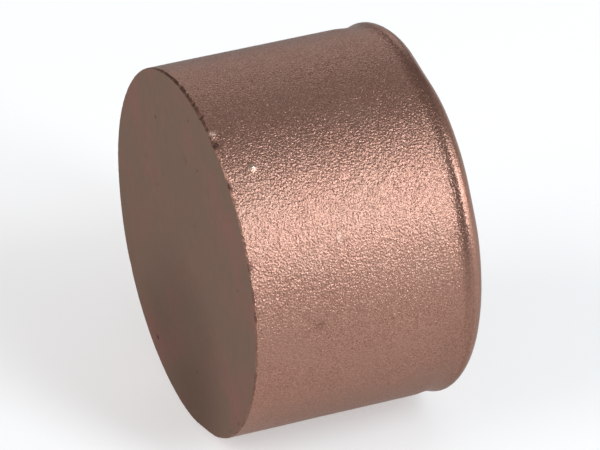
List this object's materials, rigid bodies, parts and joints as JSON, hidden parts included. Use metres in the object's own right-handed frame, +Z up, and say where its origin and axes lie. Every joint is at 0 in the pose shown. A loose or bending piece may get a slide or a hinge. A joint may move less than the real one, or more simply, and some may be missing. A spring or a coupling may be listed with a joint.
{
  "type": "pipe cap",
  "caption": "Short round cast pipe cap with a flat closed end, a rounded bead at its internally threaded mouth, and a loose flat sealing washer inside.",
  "frame": {"origin": "centre of the outer face of the closed end, on the cap's axis", "axes": "+X runs along the cap's axis from the closed end to the threaded mouth. The cap lies on its side, and +Z is up"},
  "size_m": [0.0293, 0.045, 0.045],
  "materials": {
    "cast_bronze": "as-cast reddish bronze, fine sand texture, dull brown patina; thread and washer seat machined",
    "black_rubber": "matt moulded rubber"
  },
  "bodies": {
    "cap": {"cap_body": "cast_bronze"},
    "washer": {"sealing_washer": "black_rubber"}
  },
  "joints": [
    {"name": "washer_turn", "type": "hinge", "parent": "cap", "child": "washer", "pos_m": [0.0068, 0, 0], "axis": [1, 0, 0], "continuous": true}
  ]
}
